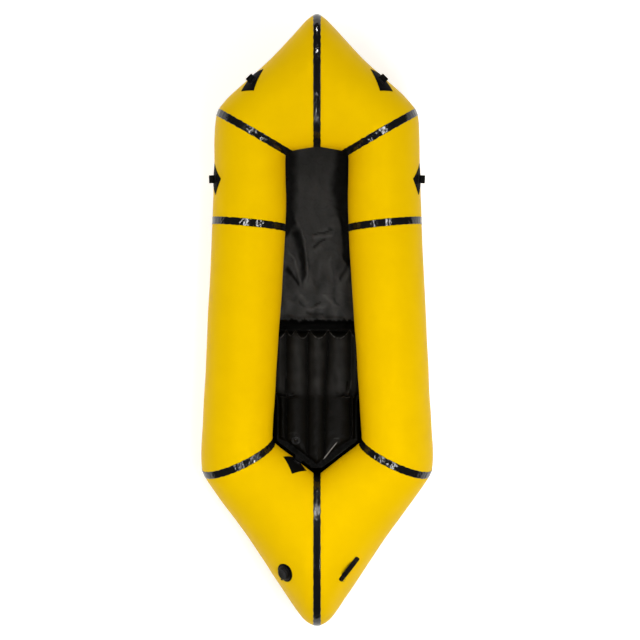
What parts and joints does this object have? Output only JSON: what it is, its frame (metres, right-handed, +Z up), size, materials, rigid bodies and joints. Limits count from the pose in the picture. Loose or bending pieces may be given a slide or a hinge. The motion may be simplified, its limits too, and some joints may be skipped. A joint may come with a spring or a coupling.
{
  "type": "packraft",
  "caption": "One-person inflatable raft: a pointed ring tube with taped seams, fabric floor, folding inflatable seat, tie loops, grab handle and a press-button air valve with a tethered cap.",
  "frame": {"origin": "on the ground under the middle of the boat's bounding box", "axes": "+Y towards the bow, +X to starboard, +Z up"},
  "size_m": [0.8342, 2.2098, 0.4083],
  "materials": {
    "yellow_fabric": "satin coated nylon, airtight",
    "black_tape": "glossy seam tape",
    "floor_fabric": "heavy coated cloth, semi-matt",
    "patch_fabric": "coated reinforcing cloth",
    "webbing": "woven nylon webbing, matt",
    "seat_fabric": "coated nylon, semi-gloss",
    "valve_plastic": "moulded, satin",
    "seal_rubber": "soft, matt",
    "spring_steel": "bright wire"
  },
  "bodies": {
    "hull": {"bow_panel_left": "yellow_fabric", "bow_panel_right": "yellow_fabric", "fore_side_panel_left": "yellow_fabric", "fore_side_panel_right": "yellow_fabric", "long_side_panel_left": "yellow_fabric", "long_side_panel_right": "yellow_fabric", "stern_panel_left": "yellow_fabric", "stern_panel_right": "yellow_fabric", "bow_seam_tape": "black_tape", "bow_corner_tape_left": "black_tape", "bow_corner_tape_right": "black_tape", "mid_tape_left": "black_tape", "mid_tape_right": "black_tape", "stern_corner_tape_left": "black_tape", "stern_corner_tape_right": "black_tape", "stern_seam_tape": "black_tape", "floor_sheet": "floor_fabric", "bow_loop_patch_left": "patch_fabric", "bow_loop_patch_right": "patch_fabric", "side_loop_patch_left": "patch_fabric", "side_loop_patch_right": "patch_fabric", "stern_loop_patch": "patch_fabric", "grab_handle": "webbing", "seat_base": "seat_fabric", "valve_patch": "patch_fabric", "valve_base": "valve_plastic", "valve_housing": "valve_plastic", "valve_spring": "spring_steel"},
    "tether": {"valve_tether": "seal_rubber"},
    "cap": {"valve_cap": "seal_rubber"},
    "plunger": {"valve_plunger": "valve_plastic", "valve_seal": "seal_rubber"},
    "backrest": {"seat_back": "seat_fabric", "seat_valve_stem": "valve_plastic"},
    "seat_nozzle": {"seat_valve_nozzle": "valve_plastic"},
    "bow_tie_left": {"bow_loop_left": "webbing"},
    "bow_tie_right": {"bow_loop_right": "webbing"},
    "side_tie_left": {"side_loop_left": "webbing"},
    "side_tie_right": {"side_loop_right": "webbing"},
    "stern_tie": {"stern_loop": "webbing"}
  },
  "joints": [
    {"name": "tether_swivel", "type": "hinge", "parent": "hull", "child": "tether", "pos_m": [-0.11564, -0.90914, 0.27274], "axis": [-0.6953, -0.3434, 0.6313], "continuous": true},
    {"name": "cap_hinge", "type": "hinge", "parent": "tether", "child": "cap", "pos_m": [-0.12772, -0.93474, 0.25479], "axis": [0.6765, -0.6092, 0.4138], "range_deg": [0, 120]},
    {"name": "valve_press", "type": "slide", "parent": "hull", "child": "plunger", "axis": [0.6953, 0.3434, -0.6313], "range_m": [0, 0.0045], "stiffness_N_per_m": 300, "springref_m": -0.002, "deforming": ["valve_spring"]},
    {"name": "seat_fold", "type": "hinge", "parent": "hull", "child": "backrest", "pos_m": [0, -0.275, 0.036], "axis": [-1, 0, 0], "range_deg": [0, 60]},
    {"name": "seat_nozzle_slide", "type": "slide", "parent": "backrest", "child": "seat_nozzle", "axis": [0, 0.454, 0.891], "range_m": [0, 0.004]},
    {"name": "bow_loop_left_swing", "type": "hinge", "parent": "hull", "child": "bow_tie_left", "pos_m": [-0.23725, 0.86932, 0.29562], "axis": [-0.7103, -0.7039, 0], "range_deg": [-60, 60]},
    {"name": "bow_loop_right_swing", "type": "hinge", "parent": "hull", "child": "bow_tie_right", "pos_m": [0.23725, 0.86932, 0.29562], "axis": [0.7103, -0.7039, 0], "range_deg": [-60, 60]},
    {"name": "side_loop_left_swing", "type": "hinge", "parent": "hull", "child": "side_tie_left", "pos_m": [-0.37537, 0.51045, 0.18726], "axis": [0.0469, -0.9989, 0], "range_deg": [-60, 60]},
    {"name": "side_loop_right_swing", "type": "hinge", "parent": "hull", "child": "side_tie_right", "pos_m": [0.37539, 0.51045, 0.18726], "axis": [-0.0469, -0.9989, 0], "range_deg": [-60, 60]},
    {"name": "stern_loop_swing", "type": "hinge", "parent": "hull", "child": "stern_tie", "pos_m": [-0.06873, -0.50416, 0.19004], "axis": [0.8293, -0.5588, 0], "range_deg": [-60, 60]}
  ]
}
